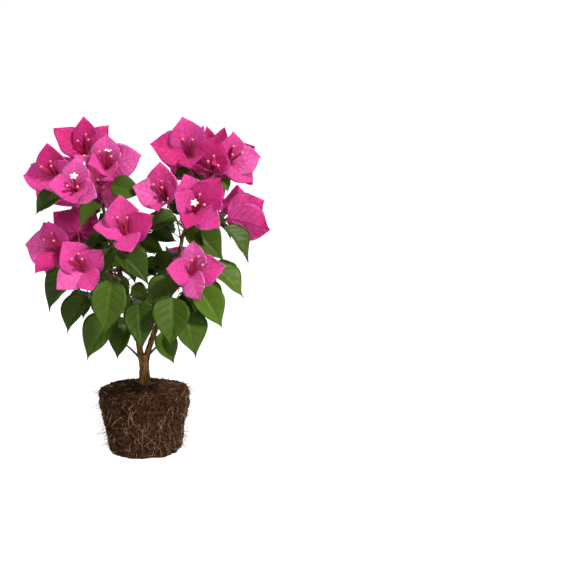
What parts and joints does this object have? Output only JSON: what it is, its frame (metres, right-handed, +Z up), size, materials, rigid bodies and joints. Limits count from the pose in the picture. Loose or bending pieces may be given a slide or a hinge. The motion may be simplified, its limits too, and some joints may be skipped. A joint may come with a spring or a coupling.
{
  "type": "bougainvillea bush",
  "caption": "Young bougainvillea on a bare tapered root ball, with a forked trunk, slender boughs, hanging leaves and heads of large magenta bracts.",
  "frame": {"origin": "centre of the flat underside of the root ball", "axes": "+Z up along the trunk; -Y towards the near side of the crown; +X towards the bough that leans to the right when seen from the near side"},
  "size_m": [0.3669, 0.2655, 0.5087],
  "materials": {
    "earth": "matte",
    "bark": "matte",
    "bract": "matte",
    "leaf": "satin"
  },
  "bodies": {
    "root": {"root_ball": "earth", "centre_bough": "bark", "front_right_bough": "bark", "left_bough": "bark", "left_side_bough": "bark", "lower_right_bough": "bark", "mid_right_bough": "bark", "right_bough": "bark", "right_tip_bough": "bark", "trunk": "bark", "upper_right_bough": "bark", "far_centre_bough": "bark", "far_front_right_bough": "bark", "far_left_side_bough": "bark", "far_lower_right_bough": "bark", "bloom_centre": "bract", "bloom_front_right": "bract", "bloom_lower_right": "bract", "bloom_mid_left": "bract", "bloom_mid_right": "bract", "bloom_right": "bract", "bloom_upper_left": "bract", "bloom_upper_right": "bract", "far_bloom_centre": "bract", "far_bloom_front_right": "bract", "far_bloom_lower_right": "bract", "far_bloom_mid_left": "bract", "leaves_centre": "leaf", "leaves_lower_centre": "leaf", "leaves_lower_left": "leaf", "leaves_lower_right": "leaf", "leaves_mid_right": "leaf", "leaves_right": "leaf", "leaves_upper_left": "leaf", "leaves_upper_right": "leaf", "far_leaves_centre": "leaf", "far_leaves_lower_centre": "leaf", "far_leaves_lower_left": "leaf", "far_leaves_lower_right": "leaf", "far_leaves_mid_right": "leaf", "far_leaves_right": "leaf", "far_leaves_upper_left": "leaf", "far_leaves_upper_right": "leaf"}
  },
  "joints": []
}
